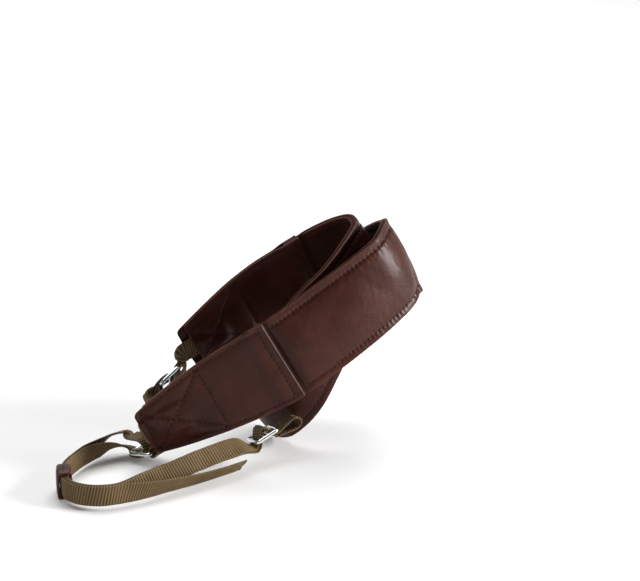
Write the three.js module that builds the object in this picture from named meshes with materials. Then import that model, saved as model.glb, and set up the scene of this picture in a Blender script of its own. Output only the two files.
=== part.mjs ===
// Camera neck strap: a padded leather neck band wound in two turns, with a leather tab at each end,
// a webbing tape with two wire sliders and a leather keeper at each tab. Millimetres, +Z up.
// The origin is the point of the lining where the front run of the band sits on what carries it.

import * as THREE from 'three';

// Leather band
const BAND_WIDTH = 43;
const COVER_THICKNESS = 1.3;
const LINING_THICKNESS = 1.3;
const CORE_EDGE_THICKNESS = 0.9;
const CROWN_HEIGHT = 2.0;
const CROWN_RAMP = 9;
const STITCH_INSET = 4.2;
const SKIVED_THICKNESS = 1.0;
const SKIVE_LENGTH = 7;

// End tabs
const TAB_LENGTH = 79;
const TAB_END_WIDTH = 24;
const TAB_LEATHER = 1.2;
const TAB_OVERLAP = 8;
const TAB_BACK_INSET = 4.5;

// Clearance between two pieces that are sewn or lie together
const CLEARANCE = 0.3;

// Webbing tape
const TAPE_WIDTH = 10;
const TAPE_THICKNESS = 1.0;
const TAPE_PITCH = TAPE_THICKNESS + CLEARANCE;
const HANGER_INSET = 20;
const HANGER_SPREAD = 0.25;

// Wire sliders: a flat frame with three bars
const BAR_WIDTH = 2.0;
const SLIDER_THICKNESS = 2.0;
const SLIDER_CHAMFER = 0.4;
const SLIDER_CORNER = 2.4;
const BAR_PITCH = 4 * TAPE_THICKNESS + 2.5;
const RAIL_WIDTH = 2.0;
const SLIDER_SIDE_CLEARANCE = 0.6;
const THREAD_CLEARANCE = 0.7;
const THREAD_OFFSET = SLIDER_THICKNESS / 2 + THREAD_CLEARANCE + TAPE_THICKNESS / 2;
const SLIDER_LANE_PITCH = 1.8 * TAPE_THICKNESS;

// Leather keepers
const KEEPER_LENGTH = 12;
const KEEPER_LEATHER = 1.3;

// Lug bights, the small loops that go through the lugs of what the strap carries
const BIGHT_REACH = 14;
const BIGHT_RADIUS = 2.6;

// The coil of the band: its plane is turned, raised and rolled from level
const COIL_HEADING = 13.4;
const COIL_RISE = 29.4;
const COIL_ROLL = 4.5;
const COIL_LENGTH = 160;
const COIL_DEPTH = 85;
const COIL_CLIMB = 45;

// The tape loop that lies in front of end A, measured from the middle of that end
const LOOP_REACH = 50;
const LOOP_DEPTH = 60;
const LOOP_DROP = 20;

// The tape loop that lies behind end A, measured from the middle of end B
const LOOP_B_REACH = 20;
const LOOP_B_DEPTH = 26;
const LOOP_B_DROP = 24;

// Where the front run rests on what carries it: a distance along the band and one across it
const SEAT_ALONG = 140;
const SEAT_ACROSS = -8;

// Smoothness of the lofts
const MAX_TURN = THREE.MathUtils.degToRad(9);
const BAND_STEP = 13;
const TAPE_TURN = THREE.MathUtils.degToRad(17);
const TAPE_STEP = 10;

const LEATHER = { color: 0x3d211b, roughness: 0.42, metalness: 0 };
const LINING_LEATHER = { color: 0x2a1815, roughness: 0.6, metalness: 0 };
const CORE_FOAM = { color: 0x241512, roughness: 0.8, metalness: 0 };
const WEBBING = { color: 0x6b5733, roughness: 0.85, metalness: 0 };
const CHROME = { color: 0xc8c8c6, roughness: 0.2, metalness: 1 };

const vec = (x, y, z) => new THREE.Vector3(x, y, z);
const radians = THREE.MathUtils.degToRad;
const smoothstep = THREE.MathUtils.smoothstep;

// Turns rows of numbers into records with named columns
function table(columns, rows) {
  return rows.map((row) => Object.fromEntries(columns.map((name, i) => [name, row[i]])));
}

const part = new THREE.Group();

function addPiece(name, geometry, look) {
  const mesh = new THREE.Mesh(geometry, new THREE.MeshStandardMaterial(look));
  mesh.name = name;
  part.add(mesh);
  return mesh;
}

// Direction across a strip, square to its run and leaning inward by an angle
function acrossAt(tangent, upright, lean) {
  const across = upright.clone().addScaledVector(tangent, -upright.dot(tangent)).normalize();
  const outward = tangent.clone().cross(across);
  const angle = radians(lean);
  return across.multiplyScalar(Math.cos(angle)).addScaledVector(outward, -Math.sin(angle));
}

// Stations of a strip: each has a point, the direction across the strip, and its outward normal
function stationsOf(points, leans, upright) {
  const curve = new THREE.CatmullRomCurve3(points, false, 'centripetal');
  return points.map((point, i) => {
    const tangent = curve.getTangent(i / (points.length - 1));
    const across = acrossAt(tangent, upright, leans[i]);
    return { point, across, outward: tangent.clone().cross(across) };
  });
}

// A lane beside a run of stations, moved outward by an offset of its own at each station
function lane(stations, offsetAt) {
  return stations.map((station, i) => ({
    ...station,
    point: station.point.clone().addScaledVector(station.outward, offsetAt(i)),
  }));
}

// The route of a strip through its stations, with a frame at any distance along it
function makeRoute(stations) {
  const curve = new THREE.CatmullRomCurve3(stations.map((station) => station.point), false, 'centripetal');
  const perSpan = 40;
  const spans = stations.length - 1;
  curve.arcLengthDivisions = perSpan * spans;
  const lengths = curve.getLengths();
  const across = [stations[0].across];
  for (let i = 1; i < stations.length; i += 1) {
    const flip = stations[i].across.dot(across[i - 1]) < 0 ? -1 : 1;
    across.push(stations[i].across.clone().multiplyScalar(flip));
  }
  const frame = (distance) => {
    const u = THREE.MathUtils.clamp(distance / lengths.at(-1), 0, 1);
    const t = curve.getUtoTmapping(u);
    const span = Math.min(Math.floor(t * spans), spans - 1);
    const tangent = curve.getTangent(t);
    const width = across[span].clone().lerp(across[span + 1], t * spans - span);
    width.addScaledVector(tangent, -width.dot(tangent)).normalize();
    return { point: curve.getPoint(t), tangent, width, normal: tangent.clone().cross(width) };
  };
  const distanceOf = (station) => lengths[Math.round(station * perSpan)];
  return { length: lengths.at(-1), frame, distanceOf };
}

// Distances along a route for a loft: close together in bends, with every mark among them
function sampleDistances(route, marks, maxTurn, maxStep) {
  const fine = 0.5;
  const distances = [marks[0]];
  for (let k = 1; k < marks.length; k += 1) {
    let last = route.frame(marks[k - 1]);
    let lastDistance = marks[k - 1];
    for (let distance = lastDistance + fine; distance < marks[k] - fine; distance += fine) {
      const here = route.frame(distance);
      const turn = here.tangent.angleTo(last.tangent) + here.width.angleTo(last.width) / 2;
      if (turn > maxTurn || distance - lastDistance > maxStep) {
        distances.push(distance);
        last = here;
        lastDistance = distance;
      }
    }
    distances.push(marks[k]);
  }
  return distances;
}

function placeInFrame(frame, across, height) {
  return frame.point.clone().addScaledVector(frame.width, across).addScaledVector(frame.normal, height);
}

function solidFrom(points, triangles) {
  const geometry = new THREE.BufferGeometry();
  const positions = points.flatMap((point) => [point.x, point.y, point.z]);
  geometry.setAttribute('position', new THREE.Float32BufferAttribute(positions, 3));
  geometry.setIndex(triangles);
  geometry.computeVertexNormals();
  return geometry;
}

// A closed solid swept along a route. ringAt gives the section as pairs [across, height], turning from
// width to normal, with the same number of pairs everywhere. The faces of layers that lie one on
// another are split along the same diagonals.
function loft(route, distances, ringAt) {
  const rings = distances.map((distance) => ringAt(distance));
  const count = rings[0].length;
  const points = rings.flatMap((ring, i) => {
    const frame = route.frame(distances[i]);
    return ring.map(([across, height]) => placeInFrame(frame, across, height));
  });
  const triangles = [];
  for (let i = 0; i + 1 < rings.length; i += 1) {
    for (let j = 0; j < count; j += 1) {
      const a = i * count + j;
      const b = i * count + ((j + 1) % count);
      const rightward = rings[i][j][0] <= rings[i][(j + 1) % count][0];
      if (rightward) triangles.push(a, b, a + count, b, b + count, a + count);
      else triangles.push(a, b, b + count, a, b + count, a + count);
    }
  }
  const capAt = (ring) => THREE.ShapeUtils.triangulateShape(ring.map(([x, y]) => new THREE.Vector2(x, y)), []);
  const lastRing = (rings.length - 1) * count;
  capAt(rings[0]).forEach(([a, b, c]) => triangles.push(a, c, b));
  capAt(rings.at(-1)).forEach(([a, b, c]) => triangles.push(lastRing + a, lastRing + b, lastRing + c));
  return solidFrom(points, triangles);
}

// A sleeve swept along a route between an outer and an inner section of as many points
function loftSleeve(route, distances, outer, inner) {
  const count = outer.length;
  const points = distances.flatMap((distance) => {
    const frame = route.frame(distance);
    return [...outer, ...inner].map(([across, height]) => placeInFrame(frame, across, height));
  });
  const triangles = [];
  const ringSize = 2 * count;
  const quad = (a, b, c, d) => triangles.push(a, c, b, a, d, c);
  const last = (distances.length - 1) * ringSize;
  for (let j = 0; j < count; j += 1) {
    const k = (j + 1) % count;
    for (let i = 0; i + 1 < distances.length; i += 1) {
      const here = i * ringSize;
      const next = here + ringSize;
      quad(here + j, next + j, next + k, here + k);
      quad(here + count + k, next + count + k, next + count + j, here + count + j);
    }
    quad(j, k, count + k, count + j);
    quad(last + k, last + j, last + count + j, last + count + k);
  }
  return solidFrom(points, triangles);
}

// The coil's own axes: along its front run, from front to back, and up along its axis
const coilTurn = new THREE.Euler(radians(COIL_ROLL), radians(-COIL_RISE), radians(COIL_HEADING), 'ZYX');
const coilAxes = new THREE.Matrix4().makeRotationFromEuler(coilTurn);
const coilUp = vec(0, 0, 1).transformDirection(coilAxes);

// Stations of the band, from end A to end B, as shares of the coil's length, depth and climb
const BAND_STATIONS = table(['along', 'across', 'up', 'lean'], [
  [-0.831, 0.106, 0, 7],
  [-0.594, 0.042, 0, 14],
  [-0.35, -0.018, 0, 10],
  [-0.15, 0.035, 0, 10],
  [0.012, 0.106, 0, 4],
  [0.105, 0.182, 0, 0],
  [0.149, 0.294, 0, -3],
  [0.157, 0.43, -0.1, 0],
  [0.15, 0.565, -0.2, 0],
  [0.131, 0.706, -0.31, 0],
  [0.081, 0.835, -0.42, 0],
  [0, 0.93, -0.52, 0],
  [-0.125, 0.985, -0.62, 0],
  [-0.25, 0.953, -0.7, 0],
  [-0.36, 0.86, -0.76, 0],
  [-0.445, 0.7, -0.81, 0],
  [-0.485, 0.52, -0.81, 0],
  [-0.46, 0.36, -0.75, 0],
  [-0.387, 0.25, -0.6, 0],
  [-0.294, 0.22, -0.38, 2],
  [-0.19, 0.246, -0.16, 4],
  [-0.053, 0.29, -0.06, 4],
  [0.046, 0.415, 0, 2],
  [0.087, 0.518, 0, 0],
  [0.094, 0.6, 0, 0],
  [0.08, 0.68, 0.01, 0],
  [0.025, 0.733, 0.03, 0],
  [-0.069, 0.73, 0.07, 0],
  [-0.166, 0.706, 0.1, 0],
  [-0.303, 0.69, 0.133, 0],
  [-0.45, 0.64, 0.148, 0],
  [-0.588, 0.6, 0.155, 0],
]);

function coilPoint(station) {
  const inCoil = vec(station.along * COIL_LENGTH, station.across * COIL_DEPTH, station.up * COIL_CLIMB);
  return inCoil.applyMatrix4(coilAxes);
}

const bandStations = stationsOf(
  BAND_STATIONS.map(coilPoint),
  BAND_STATIONS.map((station) => station.lean),
  coilUp,
);
const band = makeRoute(bandStations);

// Half the strap's width at a distance from the nearer end: the tabs widen in a soft curve
function halfWidthAt(fromEnd) {
  const left = THREE.MathUtils.clamp(1 - fromEnd / TAB_LENGTH, 0, 1);
  return BAND_WIDTH / 2 - ((BAND_WIDTH - TAB_END_WIDTH) / 2) * left * left;
}

// The padded band between the two tabs
const PADDED_START = TAB_LENGTH - TAB_OVERLAP;
const fromSeam = (distance) => Math.min(distance, band.length - distance) - TAB_LENGTH;
const skiveAt = (distance) => smoothstep(fromSeam(distance), 0, SKIVE_LENGTH);
const crownAt = (distance) => CROWN_HEIGHT * smoothstep(fromSeam(distance), 0, CROWN_RAMP);

// Heights above the middle of the strap: the sewn layers thin down to pass under the tabs
function layerHeights(distance) {
  const open = skiveAt(distance);
  const core = CORE_EDGE_THICKNESS / 2;
  const inner = THREE.MathUtils.lerp(CLEARANCE / 2, core + CLEARANCE, open);
  const cover = THREE.MathUtils.lerp(SKIVED_THICKNESS, COVER_THICKNESS, open);
  const lining = THREE.MathUtils.lerp(SKIVED_THICKNESS, LINING_THICKNESS, open);
  return { inner, cover, lining };
}

// Places across the band of the crown's columns, as shares of the space between the stitch rows
const CROWN_COLUMNS = [-1, -0.55, 0, 0.55, 1];
const crownShape = (share) => (1 - share * share) ** 0.8;

function coverRing(distance) {
  const half = halfWidthAt(Math.min(distance, band.length - distance));
  const { inner, cover } = layerHeights(distance);
  const crown = crownAt(distance);
  const columns = CROWN_COLUMNS.map((share) => [share * (half - STITCH_INSET), crown * crownShape(share)]);
  const rows = [[-half, 0], ...columns, [half, 0]];
  const under = rows.map(([across, rise]) => [across, inner + rise]);
  const above = rows.map(([across, rise]) => [across, inner + cover + rise]).reverse();
  return [...under, ...above];
}

function liningRing(distance) {
  const half = halfWidthAt(Math.min(distance, band.length - distance));
  const { inner, lining } = layerHeights(distance);
  const outside = -inner - lining;
  return [[-half, outside], [0, outside], [half, outside], [half, -inner], [0, -inner], [-half, -inner]];
}

// The padding fills the crown and shows as the middle line of the band's edges
function paddingRing(distance) {
  const half = halfWidthAt(Math.min(distance, band.length - distance));
  const { inner } = layerHeights(distance);
  const level = inner - CLEARANCE;
  const crown = crownAt(distance);
  const columns = CROWN_COLUMNS.map((share) => [share * (half - STITCH_INSET), level + crown * crownShape(share)]);
  return [[-half, -level], [0, -level], [half, -level], [half, level], ...columns.reverse(), [-half, level]];
}

// Every layer and tab is lofted through the same sections, so that their facets lie one on another
const ramp = Math.max(SKIVE_LENGTH, CROWN_RAMP);
const paddingStart = TAB_LENGTH + ramp / 2;
const marksFromEnd = [
  0, TAB_BACK_INSET, HANGER_INSET + 1, HANGER_INSET + SKIVE_LENGTH, PADDED_START - SKIVE_LENGTH, PADDED_START - 2 * CLEARANCE,
  PADDED_START, TAB_LENGTH, paddingStart, TAB_LENGTH + ramp,
];
const bandMarks = [...marksFromEnd, ...marksFromEnd.map((mark) => band.length - mark).reverse()];
const bandDistances = sampleDistances(band, bandMarks, MAX_TURN, BAND_STEP);

function loftAlongBand(from, to, ringAt) {
  return loft(band, bandDistances.filter((distance) => distance >= from && distance <= to), ringAt);
}

function loftBetweenEnds(inset, ringAt) {
  return loftAlongBand(inset, band.length - inset, ringAt);
}

addPiece('neck_band_cover', loftBetweenEnds(PADDED_START, coverRing), LEATHER);
addPiece('neck_band_lining', loftBetweenEnds(PADDED_START, liningRing), LINING_LEATHER);

// The padding starts a little past each seam, where there is room for it
addPiece('neck_band_padding', loftBetweenEnds(paddingStart, paddingRing), CORE_FOAM);

// Room inside a tab: for the band's thinned end at the seam, and for the hanger near the end
const tabRoom = CLEARANCE / 2 + SKIVED_THICKNESS + CLEARANCE;
const hangerRoom = CLEARANCE / 2 + TAPE_THICKNESS + CLEARANCE;
const HANGER_SIDE = TAPE_WIDTH / 2 + 1;
const PINCH_WIDTH = 2.5;

function tabRing(fromEnd, side) {
  const half = halfWidthAt(fromEnd);
  const atSeam = smoothstep(fromEnd, PADDED_START - SKIVE_LENGTH, PADDED_START - 2 * CLEARANCE);
  const atHanger = 1 - smoothstep(fromEnd, HANGER_INSET + 1, HANGER_INSET + SKIVE_LENGTH);
  const edge = THREE.MathUtils.lerp(CLEARANCE / 2, tabRoom, atSeam);
  const middle = Math.max(edge, THREE.MathUtils.lerp(CLEARANCE / 2, hangerRoom, atHanger));
  const rows = [
    [-half, edge], [-HANGER_SIDE - PINCH_WIDTH, edge], [-HANGER_SIDE, middle],
    [HANGER_SIDE, middle], [HANGER_SIDE + PINCH_WIDTH, edge], [half, edge],
  ];
  const near = rows.map(([across, level]) => [across, side * level]);
  const far = rows.map(([across, level]) => [across, side * (level + TAB_LEATHER)]);
  return side > 0 ? [...near, ...far.reverse()] : [...far, ...near.reverse()];
}

function addTab(end, side, name) {
  const fromEnd = (distance) => (end === 'a' ? distance : band.length - distance);
  const [from, to] = [fromEnd(side > 0 ? 0 : TAB_BACK_INSET), fromEnd(TAB_LENGTH)].sort((p, q) => p - q);
  addPiece(name, loftAlongBand(from, to, (distance) => tabRing(fromEnd(distance), side)), LEATHER);
}

for (const end of ['a', 'b']) {
  addTab(end, 1, `end_tab_${end}_face`);
  addTab(end, -1, `end_tab_${end}_back`);
}

// The middle of each end of the leather, from which its tape, sliders and keeper are placed
const endA = band.frame(0);
const endB = band.frame(band.length);

// A slider's frame: run points from its first bar to the bar that the leather's hanger holds
function sliderFrame(middle, run, bars) {
  const along = run.clone().normalize();
  const width = bars.clone().addScaledVector(along, -bars.dot(along)).normalize();
  return { middle, along, width, normal: along.clone().cross(width) };
}

const sliderLength = 2 * BAR_PITCH + BAR_WIDTH;
const sliderWidth = TAPE_WIDTH + 2 * SLIDER_SIDE_CLEARANCE + 2 * RAIL_WIDTH;

function roundedRectangle(PathType, centre, length, width, corner) {
  const path = new PathType();
  const x = length / 2 - corner;
  const y = width / 2 - corner;
  path.absarc(centre + x, y, corner, 0, Math.PI / 2);
  path.absarc(centre - x, y, corner, Math.PI / 2, Math.PI);
  path.absarc(centre - x, -y, corner, Math.PI, 1.5 * Math.PI);
  path.absarc(centre + x, -y, corner, 1.5 * Math.PI, 2 * Math.PI);
  path.closePath();
  return path;
}

function addSlider(name, frame) {
  const inset = SLIDER_CHAMFER;
  const shape = roundedRectangle(
    THREE.Shape, 0, sliderLength - 2 * inset, sliderWidth - 2 * inset, SLIDER_CORNER - inset);
  for (const side of [-1, 1]) {
    const opening = roundedRectangle(
      THREE.Path, (side * BAR_PITCH) / 2, BAR_PITCH - BAR_WIDTH + 2 * inset,
      sliderWidth - 2 * RAIL_WIDTH + 2 * inset, SLIDER_CHAMFER + inset);
    shape.holes.push(opening);
  }
  const geometry = new THREE.ExtrudeGeometry(shape, {
    depth: SLIDER_THICKNESS - 2 * inset, bevelThickness: inset, bevelSize: inset, bevelSegments: 1, curveSegments: 3,
  });
  geometry.translate(0, 0, inset - SLIDER_THICKNESS / 2);
  const mesh = addPiece(name, geometry, CHROME);
  const axes = new THREE.Matrix4().makeBasis(frame.along, frame.width, frame.normal);
  mesh.quaternion.setFromRotationMatrix(axes);
  mesh.position.copy(frame.middle);
  return mesh;
}

// A station of a tape in a slider's own plane: along its run, and above or below it
function sliderStation(frame, along, height) {
  const point = frame.middle.clone().addScaledVector(frame.along, along).addScaledVector(frame.normal, height);
  return { point, across: frame.width, outward: frame.normal, held: true };
}

// A tape through its stations; it has a section wherever a slider or a seam holds it
function addTape(name, stations) {
  const route = makeRoute(stations);
  const holds = stations.map((station, i) => (station.held ? route.distanceOf(i) : 0));
  const marks = [0, ...holds.filter((distance) => distance > 0 && distance < route.length), route.length];
  const half = TAPE_WIDTH / 2;
  const thick = TAPE_THICKNESS / 2;
  const ring = [[-half, -thick], [half, -thick], [half, thick], [-half, thick]];
  const distances = sampleDistances(route, marks, TAPE_TURN, TAPE_STEP);
  addPiece(name, loft(route, distances, () => ring), WEBBING);
  return route;
}

// The hanger is sewn between the tab's leathers, goes round the slider's last bar and comes back. It
// pulls the bar at an angle to the slider's plane.
function addHanger(name, end, between, slider, pull) {
  const outOfEnd = end === 'a' ? -1 : 1;
  const inside = [HANGER_INSET, HANGER_INSET / 2, TAB_BACK_INSET + CLEARANCE].map((depth) => {
    const frame = band.frame(end === 'a' ? depth : band.length - depth);
    return { point: frame.point, across: frame.width, outward: frame.normal.multiplyScalar(outOfEnd), held: true };
  });
  const cos = Math.cos(radians(pull));
  const sin = Math.sin(radians(pull));
  const atBar = (away, aside) => sliderStation(slider, BAR_PITCH + away * cos - aside * sin, away * sin + aside * cos);
  const square = atBar(0, 1).point.sub(atBar(0, 0).point);
  const facing = Math.sign(between.at(-1).outward.dot(square)) || 1;
  const arriving = { ...atBar(THREAD_OFFSET + 1.5 * BAR_WIDTH, 0), outward: square.multiplyScalar(facing) };
  const path = [...inside, ...between, arriving];
  const spread = (i) => TAPE_PITCH / 2 + Math.max(i + 1 - inside.length, 0) * HANGER_SPREAD;
  const round = [-90, -45, 0, 45, 90].map((turn) => {
    const aside = -facing * Math.sin(radians(turn));
    return atBar(-THREAD_OFFSET * Math.cos(radians(turn)), THREAD_OFFSET * aside);
  });
  addTape(name, [...lane(path, spread), ...round, ...lane(path, (i) => -spread(i)).reverse()]);
}

// A leather keeper round the three layers of a tape, centred on a place along their middle layer
function addKeeper(name, stations, place) {
  const route = makeRoute(stations);
  const half = TAPE_WIDTH / 2 + 2 * CLEARANCE;
  const deep = TAPE_PITCH + TAPE_THICKNESS / 2 + 2 * CLEARANCE;
  const corner = KEEPER_LEATHER / 2;
  const inner = [[-half, -deep], [0, -deep], [half, -deep], [half, 0], [half, deep], [0, deep], [-half, deep], [-half, 0]];
  const wide = half + KEEPER_LEATHER;
  const thick = deep + KEEPER_LEATHER;
  const outer = [
    [-wide + corner, -thick + corner], [0, -thick], [wide - corner, -thick + corner], [wide, 0],
    [wide - corner, thick - corner], [0, thick], [-wide + corner, thick - corner], [-wide, 0],
  ];
  const middle = route.distanceOf(place);
  const marks = [middle - KEEPER_LENGTH / 2, middle, middle + KEEPER_LENGTH / 2];
  addPiece(name, loftSleeve(route, sampleDistances(route, marks, TAPE_TURN, TAPE_STEP), outer, inner), LEATHER);
}

// Slider A at the end of the leather and slider A by the lug, placed from the middle of end A
const endSliderA = sliderFrame(
  endA.point.clone().add(vec(-1.3, 19.8, -16.3)), vec(0.84, -0.53, 0.15), vec(0.52, 0.85, 0.08));
const lugSliderA = sliderFrame(
  endA.point.clone().add(vec(58.3, 16.1, -6.7)), vec(0.8, 0.46, 0.39), vec(-0.41, 0.89, -0.2));

// The tape's run from slider A round the loop on the floor, as shares of the loop's sizes, with the
// extra distance of the outer layer where it springs up from the slider
const TRUNK_A = table(['x', 'y', 'z', 'lean', 'spring'], [
  [-0.25, 0.41, -0.84, 82, 6.5],
  [-0.36, 0.37, -0.78, 60, 5],
  [-0.48, 0.27, -0.755, 25, 2.5],
  [-0.62, 0.14, -0.75, 4, 0.6],
  [-0.72, -0.05, -0.75, 0, 0],
  [-0.77, -0.22, -0.75, 0, 0],
  [-0.765, -0.4, -0.75, 0, 0],
  [-0.7, -0.57, -0.75, 0, 0],
  [-0.55, -0.68, -0.75, 0, 0],
  [-0.35, -0.705, -0.75, 0, 0],
  [-0.165, -0.65, -0.75, 0, 0],
]);
const UPPER_A = table(['x', 'y', 'z', 'lean'], [
  [0.03, -0.53, -0.665, 8],
  [0.27, -0.373, -0.59, 17],
  [0.54, -0.215, -0.465, 20],
  [0.81, -0.04, -0.38, 35],
  [0.96, 0.08, -0.4, 60],
]);
const FREE_A = table(['x', 'y', 'z', 'lean'], [
  [0.03, -0.56, -0.775, -15],
  [0.27, -0.42, -0.8, -30],
  [0.55, -0.25, -0.825, -38],
  [0.81, -0.07, -0.835, -42],
  [0.96, 0.045, -0.835, -42],
]);

function loopStations(end, size, ...tables) {
  const rows = tables.flat();
  const points = rows.map((row) => vec(row.x, row.y, row.z).multiply(size).add(end.point));
  return stationsOf(points, rows.map((row) => row.lean), vec(0, 0, 1));
}

const loopSizeA = vec(LOOP_REACH, LOOP_DEPTH, LOOP_DROP);
const toLugA = loopStations(endA, loopSizeA, TRUNK_A, UPPER_A);
const toFreeEndA = loopStations(endA, loopSizeA, TRUNK_A, FREE_A);

// Stations of the trunk where the tape's inner end is tucked in, and where each keeper sits
const TUCK_STATION_A = 5;
const KEEPER_STATION_A = 6.1;
const TUCK_STATION_B = 3;
const KEEPER_STATION_B = 4.15;

// A tape under the first bar, over the middle bar and under the last bar of a slider, with a station at
// each edge of each bar
function weave(under, over) {
  const edge = BAR_WIDTH / 2;
  return [[-BAR_PITCH, -under], [0, over], [BAR_PITCH, -under]].flatMap(
    ([bar, height]) => [[bar - edge, height], [bar + edge, height]]);
}

// Two layers of tape through a lug's slider and round the bight: out on one, back on the other
function throughLug(slider) {
  const low = THREAD_OFFSET + SLIDER_LANE_PITCH;
  const bightHeight = -(THREAD_OFFSET + low) / 2;
  const bightEnd = BAR_PITCH + BIGHT_REACH;
  const bight = [
    [bightEnd - BIGHT_RADIUS, bightHeight - BIGHT_RADIUS],
    [bightEnd, bightHeight],
    [bightEnd - BIGHT_RADIUS, bightHeight + BIGHT_RADIUS],
  ];
  const lanes = [...weave(low, THREAD_OFFSET), ...bight, ...weave(THREAD_OFFSET, low).reverse()];
  return lanes.map(([along, height]) => sliderStation(slider, along, height));
}

// Round the middle bar of the slider at the leather's end
function roundEndSlider(slider, spring) {
  const before = -BAR_PITCH - BAR_WIDTH;
  return [
    sliderStation(slider, before, -THREAD_OFFSET),
    sliderStation(slider, 0, -THREAD_OFFSET),
    sliderStation(slider, THREAD_OFFSET, 0),
    sliderStation(slider, 0, THREAD_OFFSET + 0.7 * spring),
    sliderStation(slider, before, THREAD_OFFSET + spring),
  ];
}

// The tape from its tucked end to the lug, back round the slider at the leather's end and to its free end
function tapeStations(toLug, toFreeEnd, springs, lugSlider, endSlider, tuck) {
  const springAt = (i) => (i < springs.length ? springs[i] : 0);
  const innerLane = lane(toLug.slice(tuck), () => -TAPE_PITCH);
  const middleLane = lane(toLug, () => 0).reverse();
  const outerLane = lane(toFreeEnd, (i) => TAPE_PITCH + springAt(i));
  return [
    ...innerLane,
    ...throughLug(lugSlider),
    ...middleLane,
    ...roundEndSlider(endSlider, Math.max(springAt(0) - TAPE_PITCH, 0)),
    ...outerLane,
  ];
}

addSlider('end_slider_a', endSliderA);
addSlider('lug_slider_a', lugSliderA);
addKeeper('keeper_a', toLugA, KEEPER_STATION_A);
addTape('tape_a', tapeStations(
  toLugA, toFreeEndA, TRUNK_A.map((row) => row.spring), lugSliderA, endSliderA, TUCK_STATION_A));

const hangerPathA = stationsOf(
  [vec(0.8, 1.1, 0.5), vec(0.1, 3.8, 0.3), vec(1, 7.5, -2.8), vec(3.5, 11.5, -7.5)]
    .map((offset) => endA.point.clone().add(offset)),
  [0, 5, 25, 50],
  coilUp,
);
addHanger('hanger_a', 'a', hangerPathA, endSliderA, 50);

// End B: the slider hangs from the end of the leather, and its loop lies behind end A
const endSliderB = sliderFrame(
  endB.point.clone().add(vec(-8.6, -9.6, -13.2)), vec(0.66, 0.55, 0.51), vec(-0.03, 0.7, -0.72));
const lugSliderB = sliderFrame(endB.point.clone().add(vec(13.1, -28.6, -23.4)), vec(1, 0, 0), vec(0, 0, 1));
const TRUNK_B = table(['x', 'y', 'z', 'lean'], [
  [-0.82, -0.63, -0.8, -45],
  [-0.92, -0.77, -0.89, -25],
  [-0.86, -0.92, -0.955, -10],
  [-0.645, -1, -0.975, 0],
  [-0.345, -1.013, -0.975, 0],
  [-0.045, -1.013, -0.975, 0],
]);
const UPPER_B = table(['x', 'y', 'z', 'lean'], [[0.13, -1.013, -0.975, 0]]);
const FREE_B = table(['x', 'y', 'z', 'lean'], [
  [0.13, -1.06, -0.97, 0],
  [0.38, -1.28, -0.94, 0],
  [0.755, -1.38, -0.9, 0],
  [1.45, -1.4, -0.85, 0],
]);
const loopSizeB = vec(LOOP_B_REACH, LOOP_B_DEPTH, LOOP_B_DROP);
const toLugB = loopStations(endB, loopSizeB, TRUNK_B, UPPER_B);
const toFreeEndB = loopStations(endB, loopSizeB, TRUNK_B, FREE_B);

addSlider('end_slider_b', endSliderB);
addSlider('lug_slider_b', lugSliderB);
addKeeper('keeper_b', toLugB, KEEPER_STATION_B);
addTape('tape_b', tapeStations(toLugB, toFreeEndB, [], lugSliderB, endSliderB, TUCK_STATION_B));

const hangerPathB = stationsOf(
  [vec(-1.7, -0.9, -1.1), vec(-2.5, -2, -4)].map((offset) => endB.point.clone().add(offset)),
  [-14, 10],
  coilUp,
);
addHanger('hanger_b', 'b', hangerPathB, endSliderB, 20);

// The seat is on the lining's inner face
const seatHeight = -(CORE_EDGE_THICKNESS / 2 + CLEARANCE + LINING_THICKNESS);
part.position.copy(placeInFrame(band.frame(SEAT_ALONG), SEAT_ACROSS, seatHeight)).negate();

export default part;
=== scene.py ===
import math

import bpy
import numpy as np
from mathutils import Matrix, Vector


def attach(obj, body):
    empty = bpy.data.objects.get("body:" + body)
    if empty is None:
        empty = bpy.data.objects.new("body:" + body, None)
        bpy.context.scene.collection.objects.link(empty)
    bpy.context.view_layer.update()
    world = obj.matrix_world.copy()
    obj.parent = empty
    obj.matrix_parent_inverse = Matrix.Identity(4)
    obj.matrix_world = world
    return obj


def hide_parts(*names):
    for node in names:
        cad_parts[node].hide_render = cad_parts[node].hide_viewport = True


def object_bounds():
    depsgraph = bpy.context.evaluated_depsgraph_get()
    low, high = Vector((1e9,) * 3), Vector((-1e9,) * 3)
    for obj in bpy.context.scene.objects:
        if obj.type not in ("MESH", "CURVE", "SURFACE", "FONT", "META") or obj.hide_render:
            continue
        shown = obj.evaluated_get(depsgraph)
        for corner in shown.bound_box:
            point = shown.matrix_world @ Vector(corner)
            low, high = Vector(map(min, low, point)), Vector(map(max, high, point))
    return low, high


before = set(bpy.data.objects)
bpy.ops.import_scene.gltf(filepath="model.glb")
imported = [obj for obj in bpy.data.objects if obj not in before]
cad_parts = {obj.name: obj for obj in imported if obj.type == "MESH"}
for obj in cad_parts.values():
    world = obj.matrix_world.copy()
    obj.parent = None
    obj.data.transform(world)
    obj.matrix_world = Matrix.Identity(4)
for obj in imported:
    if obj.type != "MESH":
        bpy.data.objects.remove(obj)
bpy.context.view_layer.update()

# Leather band
BAND_WIDTH = 43.0
TAB_LENGTH = 79.0
TAB_END_WIDTH = 24.0
TAB_LEATHER = 1.2
TAB_OVERLAP = 8.0
TAB_BACK_INSET = 4.5
TAB_CORNER = 2.2
LEATHER_THICKNESS = 1.3
SKIVED_THICKNESS = 1.0
SKIVE_LENGTH = 7.0
CORE_EDGE = 0.45
GAP = 0.3
CROWN_HEIGHT = 2.0
CROWN_RAMP = 7.0
STITCH_INSET = 3.7
STITCH_PITCH = 2.5
TAB_STITCH_INSET = 2.1
TAB_STITCH_PITCH = 2.6
BOX_START = 2.8
BOX_END = 39.0
SEAM_STITCH = 75.2
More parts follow.
